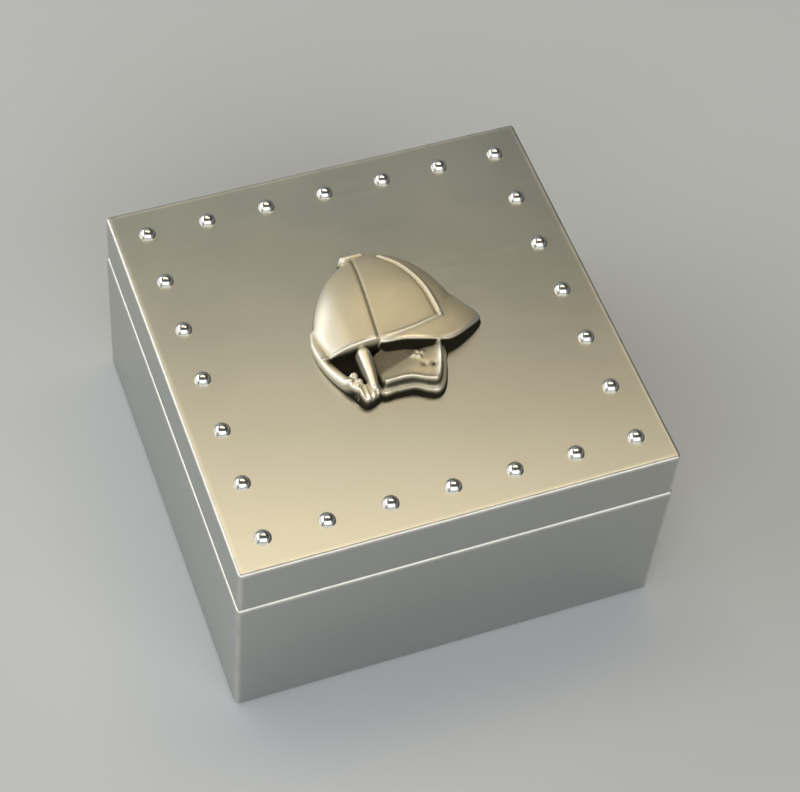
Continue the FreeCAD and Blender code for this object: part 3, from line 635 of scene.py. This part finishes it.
def stain_and_painted_light(x, y, heights):
    """How dark the casting is painted, from 1 in the hollow and its walls, where shade is painted, to -1 on
    the ridges, which are rubbed and painted as highlights; creases and the seam carry patina.
    """
    above_mean = heights - blur(np.maximum(heights, 0), MEAN_REACH)
    rise_y, rise_x = np.gradient(heights, GRID_STEP)
    steepness = np.hypot(rise_x, rise_y)
    in_plate = smooth_step(depth_inside(x, y, PLATE_OUTLINE), *HARNESS_INSET)
    in_harness = in_plate * smooth_step(-y, *HARNESS_DOWN)
    under_peak = np.maximum(in_harness, smooth_step(x, *PEAK_SHADE_X) * (y < PEAK_SHADE_TOP))
    # Creases and the seam carry patina; the hollow, the walls under the rim and the peak, and the low outer
    # walls get painted shade.
    crease = np.clip(-above_mean / CREASE_DEPTH, 0, 1)
    shaded_hollow = in_harness * smooth_step(-heights, *HOLLOW_DOWN)
    rim_shadow = under_peak * smooth_step(rise_y, *RIM_WALL_SLOPE) * (y > RIM_WALL_LOW)
    low_down = OUTER_WALL_SHADE * smooth_step(-y, *OUTER_WALL_DOWN)
    outer_wall_shade = low_down * smooth_step(steepness, *OUTER_WALL_SLOPE)
    seam = SEAM_STAIN * welt(x, y, CENTRE_SEAM, SEAM_STAIN_HALF)
    dark = np.clip(np.maximum.reduce([crease, shaded_hollow, rim_shadow, outer_wall_shade, seam]), 0, 1)
    # Ridges, the rim's piping and the front ridge are rubbed bright and painted as highlights; the crown's
    # left shoulder is a painted highlight, on the side where the light falls.
    ridges = np.clip((above_mean - RUB_START) / RUB_REACH, 0, 1)
    left_shoulder_highlight = SHOULDER_HIGHLIGHT * smooth_step(-x, *SHOULDER_LEFT)
    rim_piping = PIPING_RUB * welt(x, y, RIM_PIPING, PIPING_RUB_HALF)
    front_ridge = PIPING_RUB * welt(x, y, FRONT_RIDGE, RIDGE_RUB_HALF)
    rubbed_and_highlit = np.maximum.reduce([ridges, left_shoulder_highlight, rim_piping, front_ridge]) * (1 - dark)
    return blur(dark - rubbed_and_highlit, STAIN_SHADE_SOFTNESS)


def cell_corners(grid):
    """The values at the four corners of each cell of a grid, in order round the cell."""
    return [grid[:-1, :-1], grid[:-1, 1:], grid[1:, 1:], grid[1:, :-1]]


def helmet_mesh():
    """The helmet's relief, cut off at the lid's top and closed underneath."""
    across, along = (np.arange(low, high, GRID_STEP) for low, high in zip(GRID_LOW, GRID_HIGH))
    x, y = np.meshgrid(across, along)
    heights = helmet_heights(x, y)
    stain_shade_and_highlight = stain_and_painted_light(x, y, heights).ravel().astype(np.float32)
    places = np.stack([x, y, heights], axis=-1).reshape(-1, 3) * MM
    faces = np.stack(cell_corners(np.arange(x.size).reshape(x.shape)), axis=-1)
    shown = np.maximum.reduce(cell_corners(heights)) > 0
    mesh = bpy.data.meshes.new("cast_helmet")
    mesh.from_pydata(places.tolist(), [], faces[shown].tolist())
    mesh.attributes.new("stain_shade_and_highlight", "FLOAT", "POINT").data.foreach_set("value", stain_shade_and_highlight)
    form = bmesh.new()
    form.from_mesh(mesh)
    bmesh.ops.delete(form, geom=[v for v in form.verts if not v.link_faces], context="VERTS")
    everything = form.verts[:] + form.edges[:] + form.faces[:]
    bmesh.ops.bisect_plane(form, geom=everything, plane_co=(0, 0, 0), plane_no=(0, 0, 1), clear_inner=True)
    outline = [edge for edge in form.edges if edge.is_boundary]
    for face in form.faces:
        face.smooth = True
    bmesh.ops.triangle_fill(form, edges=outline, use_beauty=True, normal=(0, 0, -1))
    bmesh.ops.translate(form, verts=form.verts, vec=(0, 0, LID_TOP))
    form.to_mesh(mesh)
    form.free()
    return mesh


def pillow_mesh(name, low, high, axis, facing, softness, swell):
    """A thin covered board: flat behind, with rounded edges and a slightly swollen face."""
    across, along = [side for side in range(3) if side != axis]
    lines = 0.5 - 0.5 * np.cos(np.linspace(0, math.pi, BOARD_STEPS + 1))
    size = [high[side] - low[side] for side in range(3)]
    u, v = np.meshgrid(2 * lines - 1, 2 * lines - 1)
    edge_u = np.clip(1 - np.abs(u) ** (size[across] / softness), 0, 1) ** EDGE_POWER
    edge_v = np.clip(1 - np.abs(v) ** (size[along] / softness), 0, 1) ** EDGE_POWER
    height = edge_u * edge_v * (1 - swell + swell * (1 - u ** 2) * (1 - v ** 2))
    places = np.zeros(u.shape + (3,))
    places[..., across] = low[across] + size[across] * (u + 1) / 2
    places[..., along] = low[along] + size[along] * (v + 1) / 2
    back = low[axis] if facing > 0 else high[axis]
    places[..., axis] = back + facing * size[axis] * height
    form = bmesh.new()
    verts = [[form.verts.new(place) for place in row] for row in places]
    for row, next_row in zip(verts, verts[1:]):
        for corner in range(BOARD_STEPS):
            cell = (row[corner], row[corner + 1], next_row[corner + 1], next_row[corner])
            form.faces.new(cell).smooth = True
    right_side = [row[-1] for row in verts[:-1]]
    left_side = [row[0] for row in verts[:0:-1]]
    form.faces.new(verts[0][:-1] + right_side + verts[-1][:0:-1] + left_side)
    bmesh.ops.recalc_face_normals(form, faces=form.faces)
    mesh = bpy.data.meshes.new(name)
    form.to_mesh(mesh)
    form.free()
    return mesh


def dress_metal():
    """Gives the CAD nodes that stay their finishes."""
    hinge = hinge_metal("hinge_nickel", HINGE_TONE)
    paint("lid_shell", satin_metal("lid_nickel", "lid_shell"))
    base_nickel = satin_metal("base_nickel", "base_walls")
    for node in ("base_walls", "base_floor"):
        paint(node, base_nickel)
    for node in ("hinge_base_leaf", "hinge_lid_leaf", "hinge_pin", "hinge_base_rivets", "hinge_lid_rivets"):
        paint(node, hinge)
    paint("lid_studs", polished_metal())
    paint("helmet_screws", hinge_metal("screw_steel", SCREW_TONE))


def dress_helmet():
    """Puts the cast helmet on the lid."""
    new_piece("cast_helmet", helmet_mesh(), "helmet", "lid", antique_brass())


def dress_linings():
    """Covers the boards inside with velvet, and the underside with felt."""
    pile = velvet()
    for node, body, axis, facing in (
            ("front_lining", "base", 1, 1), ("back_lining", "base", 1, -1), ("left_lining", "base", 0, 1),
            ("right_lining", "base", 0, -1), ("floor_pad", "base", 2, 1), ("lid_pad", "lid", 2, -1)):
        mesh = pillow_mesh(f"velvet_{node}", *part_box(node), axis, facing, BOARD_SOFTNESS, BOARD_SWELL)
        piece = new_piece(f"velvet_{node}", mesh, node, body, pile)
    low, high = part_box("base_felt")
    mesh = pillow_mesh("felt_sheet", low, high, 2, -1, FELT_SOFTNESS, 0.0)
    piece = new_piece("felt_sheet", mesh, "base_felt", "base", felt())


def pale_floor():
    """A plain pale floor for the box to stand on."""
    bpy.ops.mesh.primitive_plane_add(size=FLOOR_SIZE)
    floor = bpy.context.object
    floor.name = "floor"
    floor.data.materials.append(floor_finish())


def surroundings():
    """A pale tent round the box, which darkens towards one side of its top."""
    world = bpy.data.worlds.new("studio")
    bpy.context.scene.world = world
    world.use_nodes = True
    nodes, links = world.node_tree.nodes, world.node_tree.links
    sky = nodes["Background"]
    sky.inputs["Color"].default_value = colour(*SKY_COLOUR)
    towards_dark = nodes.new("ShaderNodeVectorMath")
    towards_dark.operation = "DOT_PRODUCT"
    towards_dark.inputs[1].default_value = DARK_SIDE
    links.new(nodes.new("ShaderNodeTexCoord").outputs["Generated"], towards_dark.inputs[0])
    fading = nodes.new("ShaderNodeMapRange")
    fading.interpolation_type = "SMOOTHSTEP"
    for socket, value in zip(("From Min", "From Max", "To Min", "To Max"), SKY_FADE + SKY_STRENGTHS):
        fading.inputs[socket].default_value = value
    links.new(towards_dark.outputs["Value"], fading.inputs["Value"])
    links.new(fading.outputs["Result"], sky.inputs["Strength"])


def soft_lights():
    """Soft lights from above, behind, in front and the left, all turned to the box."""
    for name, place, size, power, tint in SOFTBOXES:
        lamp = bpy.data.lights.new(name, "AREA")
        lamp.shape = "RECTANGLE"
        lamp.size, lamp.size_y = size
        lamp.energy = power
        lamp.color = tint
        light = bpy.data.objects.new(name, lamp)
        light.location = place
        light.rotation_euler = Vector(place).to_track_quat("Z", "Y").to_euler()
        bpy.context.scene.collection.objects.link(light)


def photo_camera():
    """The camera at the photograph's place."""
    lens = bpy.data.cameras.new("photo_camera")
    lens.sensor_width = SENSOR_WIDTH
    lens.lens = SENSOR_WIDTH * FOCAL_PIXELS / IMAGE_WIDTH
    lens.clip_start = NEAREST_SEEN
    camera = bpy.data.objects.new("photo_camera", lens)
    back = CAMERA_RIGHT.cross(CAMERA_UP)
    turn = Matrix((CAMERA_RIGHT, CAMERA_UP, back)).transposed()
    camera.matrix_world = Matrix.Translation(CAMERA_PLACE) @ turn.to_4x4()
    bpy.context.scene.collection.objects.link(camera)
    bpy.context.scene.camera = camera


dress_metal()
dress_helmet()
dress_linings()
pale_floor()
surroundings()
soft_lights()
photo_camera()
bpy.context.scene.view_settings.view_transform = "Standard"
